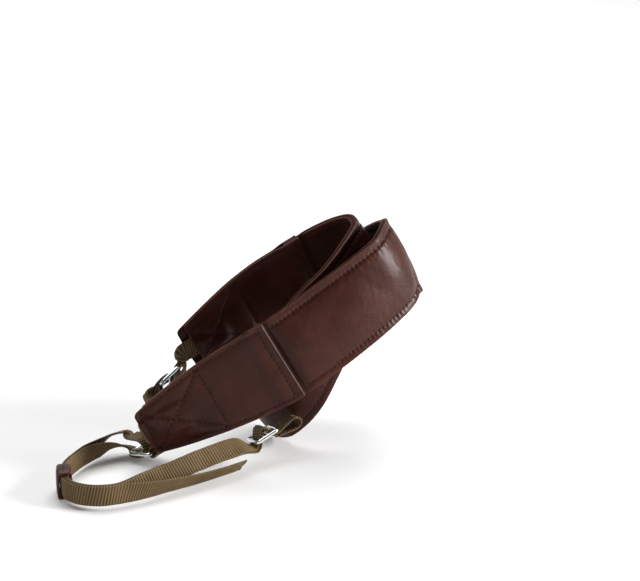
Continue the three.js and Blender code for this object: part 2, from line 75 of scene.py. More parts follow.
ROW_END_GAP = 2.5
LEATHER_EDGE_RADIUS = 0.4
# Reach and end strength of the lightened edges of the leathers: partly scuffing, partly a painted highlight.
WEAR_AND_HIGHLIGHT_REACH = 0.4
END_WEAR_AND_HIGHLIGHT = 0.8

# Padding, whose edge shows between the two leathers
CORE_INSET = 0.35
CORE_FLAT_INSET = 0.3
CORE_CLEARANCE = 0.14
CORE_EDGE_RADIUS = 0.22
CORE_START = 1.5

# Relief of the band: grooves under the stitches, puckers beside them, and a ditch where a tab ends
GROOVE_DEPTH = 0.34
GROOVE_SWING = 0.14
GROOVE_REACH = 0.75
PUCKER_DEPTH = 0.12
PUCKER_REACH = 2.7
DITCH_DEPTH = 0.75
DITCH_PLACE = 1.0
DITCH_REACH = 1.3

# Creases of the lining
CREASE_DEPTH = 0.34
CREASE_GAIN = 9
CREASE_PITCH = 5.2
CREASE_REACH = 17.0

# Relief of the tabs
TAB_GROOVE_DEPTH = 0.42
TAB_GROOVE_REACH = 0.8
TAB_SWELL = 0.36
TAB_SWELL_REACH = 3.2
TAB_ROUNDING = 0.35
TAB_ROUNDING_REACH = 0.5
TAB_THINNEST = 0.82
TAB_ROW_STEP = 0.8

# Threads
STITCH_LENGTH = 1.95
STITCH_RADIUS = 0.3
STITCH_SINK = 0.24
TAB_STITCH_RADIUS = 0.29
TAB_STITCH_SINK = 0.22
TAB_BACK_STITCH_GAP = 1.5
KEEPER_STITCH_LENGTH = 1.9
KEEPER_STITCH_RADIUS = 0.28
KEEPER_STITCH_SINK = 0.1
THREAD_SIDES = 6

# Webbing
TAPE_WIDTH = 10.0
TAPE_THICKNESS = 1.0
TAPE_PITCH = 1.3
RIB_PITCH = 1.45
RIB_SLANT = -0.22
RIB_DEPTH = 0.2
RIB_UNEVENNESS = 0.25
SELVEDGE_WANDER = 0.06
SELVEDGE_HEIGHT = 0.22
HANGER_INSET = 20.0
HANGER_CLEARANCE = 1.0
HANGER_BED = (5.5, 9.0)
HANGER_SPREAD = 0.25

# Wire sliders and keepers
BAR_PITCH = 6.5
WIRE_RADIUS = 1.0
RAIL_ACROSS = 6.6
SLIDER_BEND = 1.9
THREAD_OFFSET = 2.2
LANE_PITCH = 1.8
BIGHT_REACH = 14.0
BIGHT_RADIUS = 2.6
KEEPER_LENGTH = 12.0
KEEPER_LEATHER = 1.3
KEEPER_SIDE_GAP = 0.6
KEEPER_HALF_DEPTH = 2.4
KEEPER_BOW = 0.12
KEEPER_CORNERS = (1.7, 0.6)

# The coil's axes and its length, depth and climb
COIL_HEADING = 13.4
COIL_RISE = 29.4
COIL_ROLL = 4.5
COIL_SIZE = np.array([160.0, 85.0, 45.0])
SEAT_ALONG = 140.0
SEAT_ACROSS = -8.0
SAMPLES_PER_SPAN = 40


def turn(axis, degrees):
    """Rotation matrix about x, y or z."""
    c, s = math.cos(math.radians(degrees)), math.sin(math.radians(degrees))
    if axis == "x":
        return np.array([[1, 0, 0], [0, c, -s], [0, s, c]])
    if axis == "y":
        return np.array([[c, 0, s], [0, 1, 0], [-s, 0, c]])
    return np.array([[c, -s, 0], [s, c, 0], [0, 0, 1]])


def unit(v):
    return v / np.linalg.norm(v, axis=-1, keepdims=True)


def ring_angles(count):
    """Angles of evenly spaced points round a circle."""
    return np.linspace(0, 2 * math.pi, count + 1)[:-1]


def smoothstep(x, low, high):
    t = np.clip((np.asarray(x, float) - low) / (high - low), 0, 1)
    return t * t * (3 - 2 * t)


def ripple(u, v, seed, wavelength, count=7):
    """Smooth seeded unevenness between about -1 and 1."""
    rng = np.random.RandomState(seed)
    total = np.zeros(np.broadcast(u, v).shape)
    for _ in range(count):
        angle = rng.uniform(0, math.pi)
        k = 2 * math.pi / (wavelength * rng.uniform(0.6, 1.7))
        total = total + np.sin(k * (u * math.cos(angle) + v * math.sin(angle)) + rng.uniform(0, 6.28))
    return total / math.sqrt(count)


# Routes: smooth curves through stations, each with a direction across the strip
def spline(points):
    """Coefficients of a centripetal spline, for each span."""
    p = np.vstack([2 * points[0] - points[1], points, 2 * points[-1] - points[-2]])
    gaps = np.linalg.norm(np.diff(p, axis=0), axis=1) ** 0.5
    x0, x1, x2, x3 = p[:-3], p[1:-2], p[2:-1], p[3:]
    d0, d1, d2 = gaps[:-2, None], gaps[1:-1, None], gaps[2:, None]
    t1 = ((x1 - x0) / d0 - (x2 - x0) / (d0 + d1) + (x2 - x1) / d1) * d1
    t2 = ((x2 - x1) / d1 - (x3 - x1) / (d1 + d2) + (x3 - x2) / d2) * d1
    return np.stack([x1, t1, -3 * x1 + 3 * x2 - 2 * t1 - t2, 2 * x1 - 2 * x2 + t1 + t2])


def evaluate(coefficients, t):
    """Points and unit tangents at shares t of the spline."""
    spans = coefficients.shape[1]
    span = np.minimum((t * spans).astype(int), spans - 1)
    w = (t * spans - span)[:, None]
    c0, c1, c2, c3 = coefficients[:, span]
    return c0 + w * (c1 + w * (c2 + w * c3)), unit(c1 + w * (2 * c2 + 3 * w * c3))


def stations_of(points, leans, upright):
    """Points, directions across and outward normals, with the strip leaning by an angle at each."""
    points = np.asarray(points, float)
    tangent = evaluate(spline(points), np.linspace(0, 1, len(points)))[1]
    flat = unit(upright - (tangent @ upright)[:, None] * tangent)
    lean = np.radians(np.asarray(leans, float))[:, None]
    across = flat * np.cos(lean) - np.cross(tangent, flat) * np.sin(lean)
    return list(zip(points, across, np.cross(tangent, across)))


def lane(stations, offset_at):
    """The same stations, moved outward."""
    return [(p + o * offset_at(i), a, o) for i, (p, a, o) in enumerate(stations)]


class Route:
    """A curve through stations, with a frame at any distance along it."""

    def __init__(self, stations):
        self.coefficients = spline(np.array([s[0] for s in stations]))
        across = [stations[0][1]]
        for station in stations[1:]:
            across.append(station[1] if station[1] @ across[-1] >= 0 else -station[1])
        self.across = np.array(across)
        self.shares = np.linspace(0, 1, SAMPLES_PER_SPAN * (len(stations) - 1) + 1)
        chords = np.linalg.norm(np.diff(evaluate(self.coefficients, self.shares)[0], axis=0), axis=1)
        self.lengths = np.concatenate([[0], np.cumsum(chords)])
        self.length = self.lengths[-1]

    def distance_of(self, station):
        return self.lengths[round(station * SAMPLES_PER_SPAN)]

    def frames(self, distances):
        """Points, tangents, directions across and normals."""
        t = np.interp(distances, self.lengths, self.shares)
        spans = len(self.across) - 1
        span = np.minimum((t * spans).astype(int), spans - 1)
        w = (t * spans - span)[:, None]
        points, tangents = evaluate(self.coefficients, t)
        width = self.across[span] * (1 - w) + self.across[span + 1] * w
        width = unit(width - np.sum(width * tangents, axis=1)[:, None] * tangents)
        return points, tangents, width, np.cross(tangents, width)

    def place(self, distances, across, heights):
        points, _, width, normal = self.frames(np.atleast_1d(distances))
        return points + width * np.atleast_1d(across)[:, None] + normal * np.atleast_1d(heights)[:, None]


# Stations of the band from end A to end B: along, across, up and lean, as shares of the coil's sizes
BAND_STATIONS = np.array([
    [-0.831, 0.106, 0, 7], [-0.594, 0.042, 0, 14], [-0.35, -0.018, 0, 10], [-0.15, 0.035, 0, 10],
    [0.012, 0.106, 0, 4], [0.105, 0.182, 0, 0], [0.149, 0.294, 0, -3], [0.157, 0.43, -0.1, 0],
    [0.15, 0.565, -0.2, 0], [0.131, 0.706, -0.31, 0], [0.081, 0.835, -0.42, 0], [0, 0.93, -0.52, 0],
    [-0.125, 0.985, -0.62, 0], [-0.25, 0.953, -0.7, 0], [-0.36, 0.86, -0.76, 0], [-0.445, 0.7, -0.81, 0],
    [-0.485, 0.52, -0.81, 0], [-0.46, 0.36, -0.75, 0], [-0.387, 0.25, -0.6, 0], [-0.294, 0.22, -0.38, 2],
    [-0.19, 0.246, -0.16, 4], [-0.053, 0.29, -0.06, 4], [0.046, 0.415, 0, 2], [0.087, 0.518, 0, 0],
    [0.094, 0.6, 0, 0], [0.08, 0.68, 0.01, 0], [0.025, 0.733, 0.03, 0], [-0.069, 0.73, 0.07, 0],
    [-0.166, 0.706, 0.1, 0], [-0.303, 0.69, 0.133, 0], [-0.45, 0.64, 0.148, 0], [-0.588, 0.6, 0.155, 0],
])
coil_axes = turn("z", COIL_HEADING) @ turn("y", -COIL_RISE) @ turn("x", COIL_ROLL)
coil_up = coil_axes @ np.array([0.0, 0.0, 1.0])
band_points = (BAND_STATIONS[:, :3] * COIL_SIZE) @ coil_axes.T
band = Route(stations_of(band_points, BAND_STATIONS[:, 3], coil_up))
OFFSET = -band.place(SEAT_ALONG, SEAT_ACROSS, -(CORE_EDGE + GAP + LEATHER_THICKNESS))[0]


# Materials
def add_node(tree, kind, settings=None, **inputs):
    """A shader node with its settings, and its inputs linked or set."""
    node = tree.nodes.new(kind)
    for key, value in (settings or {}).items():
        setattr(node, key, value)
    for key, value in inputs.items():
        socket = node.inputs[key.replace("_", " ")]
        if isinstance(value, bpy.types.NodeSocket):
            tree.links.new(value, socket)
        else:
            socket.default_value = value
    return node


def mix_colour(tree, factor, first, second):
    node = tree.nodes.new("ShaderNodeMix")
    node.data_type = "RGBA"
    for index, value in ((0, factor), (6, first), (7, second)):
        if isinstance(value, bpy.types.NodeSocket):
            tree.links.new(value, node.inputs[index])
        else:
            node.inputs[index].default_value = value
    return node.outputs[2]


def remap(tree, value, low, high):
    """A value from 0 to 1 spread between two others."""
    node = add_node(tree, "ShaderNodeMapRange", Value=value, To_Min=low, To_Max=high)
    return node.outputs["Result"]


def maths(tree, operation, first, second=None):
    node = tree.nodes.new("ShaderNodeMath")
    node.operation = operation
    for index, value in ((0, first), (1, second)):
        if isinstance(value, bpy.types.NodeSocket):
            tree.links.new(value, node.inputs[index])
        elif value is not None:
            node.inputs[index].default_value = value
    return node.outputs[0]


def noise(tree, coordinates, scale, detail=3.0, roughness=0.55):
    node = add_node(tree, "ShaderNodeTexNoise", Vector=coordinates, Scale=scale, Detail=detail,
                    Roughness=roughness)
    return node.outputs["Fac"]


def start_material(name):
    material = bpy.data.materials.new(name)
    material.use_nodes = True
    tree = material.node_tree
    coordinates = add_node(tree, "ShaderNodeTexCoord").outputs
    return material, tree, tree.nodes["Principled BSDF"], coordinates


def connect(tree, bsdf, **inputs):
    for key, value in inputs.items():
        socket = bsdf.inputs[key.replace("_", " ")]
        if isinstance(value, bpy.types.NodeSocket):
            tree.links.new(value, socket)
        else:
            socket.default_value = value


def leather(name, dark, light, worn_and_highlight, roughness, grain_scale, sheen, coat):
    """Grained leather with uneven dye, edges lightened partly by scuffing and partly as a painted highlight,
    and a soft gloss.
    """
    material, tree, bsdf, coordinates = start_material(name)
    where = coordinates["Object"]
    blotches = noise(tree, where, 38.0, detail=4.0)
    streaks = noise(tree, where, 240.0, detail=5.0, roughness=0.65)
    tone = mix_colour(tree, remap(tree, blotches, -0.5, 1.6), dark, light)
    tone = mix_colour(tree, remap(tree, streaks, -0.15, 0.45), tone, light)
    # The edge mask lightens the edges: partly scuffing, partly a painted highlight on the glossy edges.
    wear_and_painted_light = add_node(tree, "ShaderNodeAttribute", {"attribute_name": "wear_and_painted_light"}).outputs["Fac"]
    rubbed_and_highlit = maths(tree, "MULTIPLY", wear_and_painted_light, remap(tree, streaks, 0.1, 0.75))
    tone = mix_colour(tree, rubbed_and_highlit, tone, worn_and_highlight)
    cells = add_node(tree, "ShaderNodeTexVoronoi", {"feature": "SMOOTH_F1"}, Vector=where,
                     Scale=grain_scale, Smoothness=0.6).outputs["Distance"]
    pores = noise(tree, where, grain_scale * 2.2, detail=2.0)
    grain = add_node(tree, "ShaderNodeBump", Strength=0.32, Distance=0.00016, Height=cells)
    fine = add_node(tree, "ShaderNodeBump", Strength=0.25, Distance=0.00008, Height=pores,
                    Normal=grain.outputs["Normal"])
    soft = add_node(tree, "ShaderNodeBump", Strength=0.3, Distance=0.0012, Height=streaks,
                    Normal=fine.outputs["Normal"])
    patches = maths(tree, "ADD", maths(tree, "MULTIPLY", streaks, 0.6),
                    maths(tree, "MULTIPLY", blotches, 0.4))
    connect(tree, bsdf, Base_Color=tone, Normal=soft.outputs["Normal"], Sheen_Weight=sheen,
            Sheen_Roughness=0.45, Sheen_Tint=(0.75, 0.66, 0.6, 1.0), Coat_Weight=coat, Coat_Roughness=0.26,
            Specular_IOR_Level=0.06, Specular_Tint=(1.0, 0.88, 0.82, 1.0),
            Roughness=remap(tree, patches, roughness - 0.12, roughness + 0.16))
    return material


def webbing(name, deep, lit):
    """Ribbed webbing mixed from a shaded and a lit tone: painted shade darkens the hollows between ribs, and
    fine threads cross each rib, painted lighter on their crests.
    """
    material, tree, bsdf, coordinates = start_material(name)
    where = coordinates["Object"]
    place = add_node(tree, "ShaderNodeSeparateXYZ", Vector=coordinates["UV"]).outputs
    hollow = add_node(tree, "ShaderNodeAttribute", {"attribute_name": "wear_and_painted_light"}).outputs["Fac"]
    wander = maths(tree, "MULTIPLY", noise(tree, where, 900.0), 2.2)
    threads = maths(tree, "SINE", maths(tree, "ADD", maths(tree, "MULTIPLY", place["Y"], 13.0), wander))
    fuzz = noise(tree, where, 2600.0, detail=4.0, roughness=0.7)
    blotches = noise(tree, where, 70.0, detail=3.0)
    light = maths(tree, "ADD", maths(tree, "MULTIPLY", threads, 0.26), remap(tree, fuzz, 0.25, 0.95))
    tone = mix_colour(tree, light, deep, lit)
    # Painted shade: the hollows between ribs take the shaded tone; the cut ends are darkened too.
    tone = mix_colour(tree, maths(tree, "MULTIPLY", hollow, 0.97), tone, deep)
    tone = mix_colour(tree, remap(tree, blotches, -0.3, 0.4), tone, deep)
    height = maths(tree, "ADD", maths(tree, "MULTIPLY", threads, 0.5), fuzz)
    bump = add_node(tree, "ShaderNodeBump", Strength=0.55, Distance=0.00012, Height=height)
    connect(tree, bsdf, Base_Color=tone, Normal=bump.outputs["Normal"], Sheen_Weight=0.08,
            Sheen_Roughness=0.5, Sheen_Tint=(0.8, 0.65, 0.4, 1.0), Roughness=remap(tree, fuzz, 0.5, 0.8),
            Specular_IOR_Level=0.35)
    return material


def wire(name):
    """Plated wire with faint scratches and finger marks."""
    material, tree, bsdf, coordinates = start_material(name)
    where = coordinates["Object"]
    stretched = add_node(tree, "ShaderNodeMapping", Vector=where, Scale=(1.0, 0.25, 1.0)).outputs["Vector"]
    scratches = noise(tree, stretched, 2400.0, roughness=0.7)
    marks = noise(tree, where, 160.0, detail=3.0)
    bump = add_node(tree, "ShaderNodeBump", Strength=0.12, Distance=0.00004, Height=scratches)
    tone = mix_colour(tree, marks, (0.72, 0.72, 0.71, 1.0), (0.86, 0.86, 0.85, 1.0))
    connect(tree, bsdf, Base_Color=tone, Metallic=1.0, Normal=bump.outputs["Normal"],
            Roughness=remap(tree, marks, 0.1, 0.26))
    return material


def thread(name, deep, lit):
    """Waxed sewing thread with a faint twist, its colour running from a shaded to a lit tone with the twist:
    a painted highlight on the twist's ridges.
    """
    material, tree, bsdf, coordinates = start_material(name)
    where = coordinates["Object"]
    twist = noise(tree, where, 4200.0, detail=2.0)
    bump = add_node(tree, "ShaderNodeBump", Strength=0.4, Distance=0.00006, Height=twist)
    connect(tree, bsdf, Base_Color=mix_colour(tree, twist, deep, lit), Normal=bump.outputs["Normal"],
            Specular_IOR_Level=0.12, Roughness=remap(tree, twist, 0.5, 0.75))
    return material


# Each leather's last colour lightens its edges: partly scuffing, partly a painted highlight on the glossy
# edges.
COVER = leather("cover_leather", dark=(0.016, 0.0036, 0.0021, 1), light=(0.046, 0.0112, 0.0062, 1),
                worn_and_highlight=(0.14, 0.044, 0.028, 1), roughness=0.4, grain_scale=1150.0, sheen=0.0, coat=0.2)
LINING = leather("lining_leather", dark=(0.014, 0.0042, 0.003, 1), light=(0.034, 0.0105, 0.007, 1),
                 worn_and_highlight=(0.12, 0.039, 0.025, 1), roughness=0.58, grain_scale=1500.0, sheen=0.02, coat=0.0)
FOAM = leather("padding_edge", dark=(0.02, 0.007, 0.005, 1), light=(0.045, 0.015, 0.01, 1),
               worn_and_highlight=(0.08, 0.028, 0.018, 1), roughness=0.75, grain_scale=2400.0, sheen=0.05, coat=0.0)
# The webbing's deep colour is a painted shade and its lit colour a painted lit tone.
WEBBING = webbing("ribbed_webbing", deep=(0.011, 0.0062, 0.0026, 1), lit=(0.31, 0.185, 0.063, 1))
WIRE = wire("plated_wire")
THREAD = thread("sewing_thread", deep=(0.004, 0.002, 0.0015, 1), lit=(0.03, 0.013, 0.009, 1))


# Meshes
def add_mesh(name, points, faces, material, uv=None, wear_and_painted_light=None, nodes=()):
    """A piece from points in millimetres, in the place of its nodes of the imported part."""
    mesh = bpy.data.meshes.new(name)
    mesh.from_pydata(((np.asarray(points) + OFFSET) * 0.001).tolist(), [], faces)
    mesh.polygons.foreach_set("use_smooth", np.ones(len(mesh.polygons), bool))
    mesh.set_sharp_from_angle(angle=math.radians(48))
    if uv is not None:
        loops = np.empty(len(mesh.loops), np.int32)
        mesh.loops.foreach_get("vertex_index", loops)
        mesh.uv_layers.new(name="UVMap").data.foreach_set("uv", np.asarray(uv)[loops].ravel())
    if wear_and_painted_light is None:
        wear_and_painted_light = np.zeros(len(mesh.vertices))
    mesh.attributes.new("wear_and_painted_light", "FLOAT", "POINT").data.foreach_set("value", np.ascontiguousarray(wear_and_painted_light))
    mesh.materials.append(material)
    piece = bpy.data.objects.new(name, mesh)
    bpy.context.scene.collection.objects.link(piece)
    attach(piece, "root")
    if nodes:
        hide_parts(*nodes)
    return piece


def grid_faces(rings, count, ring_loop=False):
    """Quads between rings of as many points, and from the last ring to the first if ring_loop."""
    i = np.arange(rings if ring_loop else rings - 1)[:, None]
    j = np.arange(count)[None, :]
    here, after = i * count, ((i + 1) % rings) * count
    k = (j + 1) % count
    return np.stack([here + j, here + k, after + k, after + j], axis=-1).reshape(-1, 4).tolist()


def add_loft(name, route, distances, sections, material, wear_and_painted_light, nodes):
    """A closed solid swept along a route through sections of [across, height]."""
    points, _, width, normal = route.frames(distances)
    verts = (points[:, None] + width[:, None] * sections[..., :1] + normal[:, None] * sections[..., 1:])
    rings, count = sections.shape[:2]
    faces = grid_faces(rings, count)
    faces.append(list(range(count))[::-1])
    faces.append([(rings - 1) * count + j for j in range(count)])
    uv = np.stack([np.repeat(distances, count), sections[..., 0].ravel()], axis=1)
    return add_mesh(name, verts.reshape(-1, 3), faces, material, uv, wear_and_painted_light.ravel(), nodes)


def leather_sections(half, low_across, low, high_across, high, radius=LEATHER_EDGE_RADIUS):
    """Sections of a leather layer with rounded edges. Across places are shares of the flat width."""
    flat = (half - radius)[:, None]
    rings = len(half)
    arc = np.radians([-60.0, -30.0, 0.0])
    x_arc = np.tile(np.cos(arc) * radius, (rings, 1)) + flat
    lower = low[:, -1:] + radius + radius * np.sin(arc)
    upper = high[:, -1:] - radius - radius * np.sin(arc[::-1])
    right = np.stack([np.hstack([x_arc, x_arc[:, ::-1]]), np.hstack([lower, upper])], axis=-1)
    lower = low[:, :1] + radius + radius * np.sin(arc)
    upper = high[:, :1] - radius - radius * np.sin(arc[::-1])
    left = np.stack([-np.hstack([x_arc, x_arc[:, ::-1]]), np.hstack([lower, upper])], axis=-1)[:, ::-1]
    bottom = np.stack([low_across * flat, low], axis=-1)
    top = np.stack([high_across * flat, high], axis=-1)[:, ::-1]
    return np.concatenate([bottom, right, top, left], axis=1)


def edge_wear_and_highlight(half, sections, from_worn_lit_end=None):
    """How near each point of the sections is to an edge or the marked end of its leather: a mask that
    lightens them, partly scuffing and partly a painted highlight.
    """
    beside = half[:, None] - np.abs(sections[..., 0])
    wear_and_painted_light = np.exp(-np.maximum(beside, 0) / WEAR_AND_HIGHLIGHT_REACH)
    if from_worn_lit_end is not None:
        wear_and_painted_light = wear_and_painted_light + END_WEAR_AND_HIGHLIGHT * np.exp(-from_worn_lit_end / WEAR_AND_HIGHLIGHT_REACH)[:, None]
    return np.clip(wear_and_painted_light, 0, 1)


def half_width(from_end):
    left = np.clip(1 - from_end / TAB_LENGTH, 0, 1)
    return BAND_WIDTH / 2 - (BAND_WIDTH - TAB_END_WIDTH) / 2 * left ** 2


# The padded band: cover, lining and the padding whose edge shows between them
def from_seam(distances):
    return np.minimum(distances, band.length - distances) - TAB_LENGTH


def crown_at(distances, across):
    share = np.clip(across / (BAND_WIDTH / 2 - STITCH_INSET), -1, 1)
    return CROWN_HEIGHT * smoothstep(from_seam(distances), 0, CROWN_RAMP) * (1 - share ** 2) ** 0.8


def layer_levels(distances):
    """Height of a layer's inner face above the middle of the band, and the layer's thickness."""
    open_share = smoothstep(from_seam(distances), 0, SKIVE_LENGTH)
    inner = GAP / 2 + (CORE_EDGE + GAP - GAP / 2) * open_share
    return inner, SKIVED_THICKNESS + (LEATHER_THICKNESS - SKIVED_THICKNESS) * open_share


def sewn_relief(distances, across, seed):
    """Grooves along the two stitch rows, with a pucker at every stitch."""
    away = np.abs(np.abs(across) - (BAND_WIDTH / 2 - STITCH_INSET))
    phase = 2 * math.pi * distances / STITCH_PITCH
    opened = smoothstep(from_seam(distances), 0.5, 4)
    ditch = -DITCH_DEPTH * np.exp(-((from_seam(distances) - DITCH_PLACE) / DITCH_REACH) ** 2)
    uneven = 0.75 + 0.35 * ripple(distances, across * 0.2, seed, 17.0)
    groove = -(GROOVE_DEPTH + GROOVE_SWING * np.cos(phase)) * np.exp(-(away / GROOVE_REACH) ** 2)
    pucker = -PUCKER_DEPTH * uneven * np.cos(phase) * np.exp(-(away / PUCKER_REACH) ** 2)
    return opened * (groove + pucker) + ditch


band_start = TAB_LENGTH - TAB_OVERLAP
steps = int(round((band.length - 2 * band_start) / (STITCH_PITCH / 4)))
band_distances = np.linspace(band_start, band.length - band_start, steps + 1)
band_half = np.full(len(band_distances), BAND_WIDTH / 2)
from_edge = np.array([0, 0.6, 1.3, 2.0, 2.7, 3.2, 3.6, 4.0, 4.5, 5.1, 5.8, 6.8, 8.2, 10, 12, 14.4, 17, 19.4])
flat_half = BAND_WIDTH / 2 - LEATHER_EDGE_RADIUS
side_shares = from_edge / flat_half - 1
fine_shares = np.concatenate([side_shares, [0.0], -side_shares[::-1]])
plain_shares = np.array([-1, -0.81, -0.45, 0, 0.45, 0.81, 1])
along = band_distances[:, None]
inner, thick = (value[:, None] for value in layer_levels(band_distances))
fine_across = fine_shares[None, :] * flat_half
plain_across = plain_shares[None, :] * flat_half

rise = crown_at(along, fine_across)
crown_share = rise / CROWN_HEIGHT
cover_top = (inner + thick + rise + sewn_relief(along, fine_across, 3)
             + 0.22 * crown_share * ripple(along, fine_across, 11, 26.0)
             + 0.05 * ripple(along, fine_across, 12, 6.0))
cover_low = inner + crown_at(along, plain_across)
sections = leather_sections(band_half, plain_shares, cover_low, fine_shares, cover_top)
cover = add_loft("band_cover", band, band_distances, sections, COVER,
                 edge_wear_and_highlight(band_half, sections), ["neck_band_cover"])

# The lining folds in fine creases where the band bends round it
_, tangents, _, normals = band.frames(band_distances)
bend = -np.sum(np.gradient(tangents, band_distances, axis=0) * normals, axis=1)
bend = np.convolve(bend, np.ones(15) / 15, "same")
crease = (np.clip(bend * CREASE_GAIN, 0, CREASE_DEPTH)[:, None]
          * np.clip(1 - (fine_across / CREASE_REACH) ** 4, 0, 1))
waves = np.sin(2 * math.pi * along / CREASE_PITCH + 1.6 * ripple(along, fine_across, 21, 30.0))
lining_out = (-inner - thick - sewn_relief(along, fine_across, 5) - crease * (0.5 + 0.5 * waves)
              - 0.06 * ripple(along, fine_across, 22, 12.0))
lining_in = -inner + 0 * plain_across
sections = leather_sections(band_half, fine_shares, lining_out, plain_shares, lining_in)
lining = add_loft("band_lining", band, band_distances, sections, LINING,
                  edge_wear_and_highlight(band_half, sections), ["neck_band_lining"])

core_distances = band_distances[from_seam(band_distances) > CORE_START]
core_half = np.full(len(core_distances), BAND_WIDTH / 2 - CORE_INSET)
core_across = plain_shares[None, :] * (core_half[0] - CORE_FLAT_INSET)
core_level = (layer_levels(core_distances)[0] - CORE_CLEARANCE)[:, None]
core_top = core_level + crown_at(core_distances[:, None], core_across)
sections = leather_sections(core_half, plain_shares, -core_level + 0 * core_across, plain_shares, core_top,
                            CORE_EDGE_RADIUS)
padding = add_loft("band_padding", band, core_distances, sections, FOAM,
                   edge_wear_and_highlight(core_half, sections), ["neck_band_padding"])


# The end tabs, with a stitched box crossed by two diagonals
def tab_lines():
    """Rows of stitches on a tab as polylines of [from end, across]."""
    rows = []
    run = np.linspace(BOX_START, SEAM_STITCH, 60)
    for side in (-1, 1):
        rows.append(np.stack([run, side * (half_width(run) - TAB_STITCH_INSET)], axis=1))
        start = [BOX_START, side * (half_width(BOX_START) - TAB_STITCH_INSET)]
        end = [BOX_END, -side * (half_width(BOX_END) - TAB_STITCH_INSET)]
        rows.append(np.linspace(start, end, 30))
    for at in (BOX_START, BOX_END, SEAM_STITCH):
        reach = half_width(at) - TAB_STITCH_INSET
        rows.append(np.linspace([at, -reach], [at, reach], 30))
    return rows


def points_on(row, travelled, marks):
    """Points of a polyline where the distance travelled on it reaches each mark."""
    return np.stack([np.interp(marks, travelled, row[:, k]) for k in (0, 1)], axis=1)


def along_rows(row, pitch):
    """Places and directions of stitches along a polyline."""
    steps = np.linalg.norm(np.diff(row, axis=0), axis=1)
    travelled = np.concatenate([[0], np.cumsum(steps)])
    count = max(int(round(travelled[-1] / pitch)), 1)
    marks = (np.arange(count) + 0.5) * travelled[-1] / count
    places, ahead, behind = (points_on(row, travelled, marks + shift) for shift in (0, 0.4, -0.4))
    return places, unit(ahead - behind)


tab_rows = tab_lines()
tab_shares = np.linspace(-1, 1, 47)
row_points = np.concatenate([points_on(row, np.linspace(0, 1, len(row)), np.linspace(0, 1, 160))
                             for row in tab_rows])


def tab_level(from_end, across):
    """Height of the inside of a tab's leather above the middle of the strap."""
    at_seam = smoothstep(from_end, band_start - SKIVE_LENGTH, band_start - 2 * GAP)
    at_hanger = 1 - smoothstep(from_end, HANGER_INSET + HANGER_CLEARANCE, HANGER_INSET + SKIVE_LENGTH)
    edge = GAP / 2 + (SKIVED_THICKNESS + GAP) * at_seam
    middle = np.maximum(edge, GAP / 2 + (TAPE_THICKNESS + GAP) * at_hanger)
    return edge + (middle - edge) * (1 - smoothstep(np.abs(across), *HANGER_BED))


def tab_relief(from_end, across):
    """Sewn grooves with the leather swelling between them."""
    flat = np.stack([from_end.ravel(), across.ravel()], axis=1)
    nearest = np.min(np.linalg.norm(flat[:, None] - row_points[None], axis=2), axis=1)
    nearest = nearest.reshape(from_end.shape)
    groove = -TAB_GROOVE_DEPTH * np.exp(-(nearest / TAB_GROOVE_REACH) ** 2)
    return groove + TAB_SWELL * (1 - np.exp(-(nearest / TAB_SWELL_REACH) ** 2))


def add_tab(end, side, name, node, start, seed):
    """One leather of a tab: side 1 is its face and -1 its back."""
    fine = np.array([0, 0.1, 0.25, 0.45, 0.8, 1.3, 1.9])
    from_end = np.concatenate([start + fine, np.arange(start + 2.6, TAB_LENGTH - 1, TAB_ROW_STEP),
                               TAB_LENGTH - fine[4::-1]])
    corner = np.clip(1 - (from_end - start) / TAB_CORNER, 0, 1)
    half = half_width(from_end) - TAB_CORNER * (1 - np.sqrt(1 - corner ** 2)) * 0.9
    flat = (half - LEATHER_EDGE_RADIUS)[:, None]
    away = from_end[:, None]
    across = tab_shares[None, :] * flat
    plain = plain_shares[None, :] * flat
    nearest_end = np.minimum(from_end - start, TAB_LENGTH - from_end)
    rounding = TAB_ROUNDING * (1 - smoothstep(nearest_end, 0, TAB_ROUNDING_REACH))[:, None]
    near = tab_level(away, plain) + rounding * 0.6
    far = (tab_level(away, across) + TAB_LEATHER - rounding
           + tab_relief(away + 0 * across, across)
           + 0.14 * ripple(away, across, seed, 22.0) + 0.04 * ripple(away, across, seed + 1, 5.0))
    far = np.maximum(far, tab_level(away, across) + TAB_THINNEST)
    if side > 0:
        sections = leather_sections(half, plain_shares, near, tab_shares, far)
    else:
        sections = leather_sections(half, tab_shares, -far, plain_shares, -near)
    distances = from_end if end == "a" else band.length - from_end
    wear_and_painted_light = edge_wear_and_highlight(half, sections, from_end - start)
    order = np.argsort(distances)
    add_loft(name, band, distances[order], sections[order], COVER, wear_and_painted_light[order], [node])


for end, seed in (("a", 31), ("b", 41)):
    add_tab(end, 1, f"tab_{end}_face", f"end_tab_{end}_face", 0.0, seed)
    add_tab(end, -1, f"tab_{end}_back", f"end_tab_{end}_back", TAB_BACK_INSET, seed + 5)


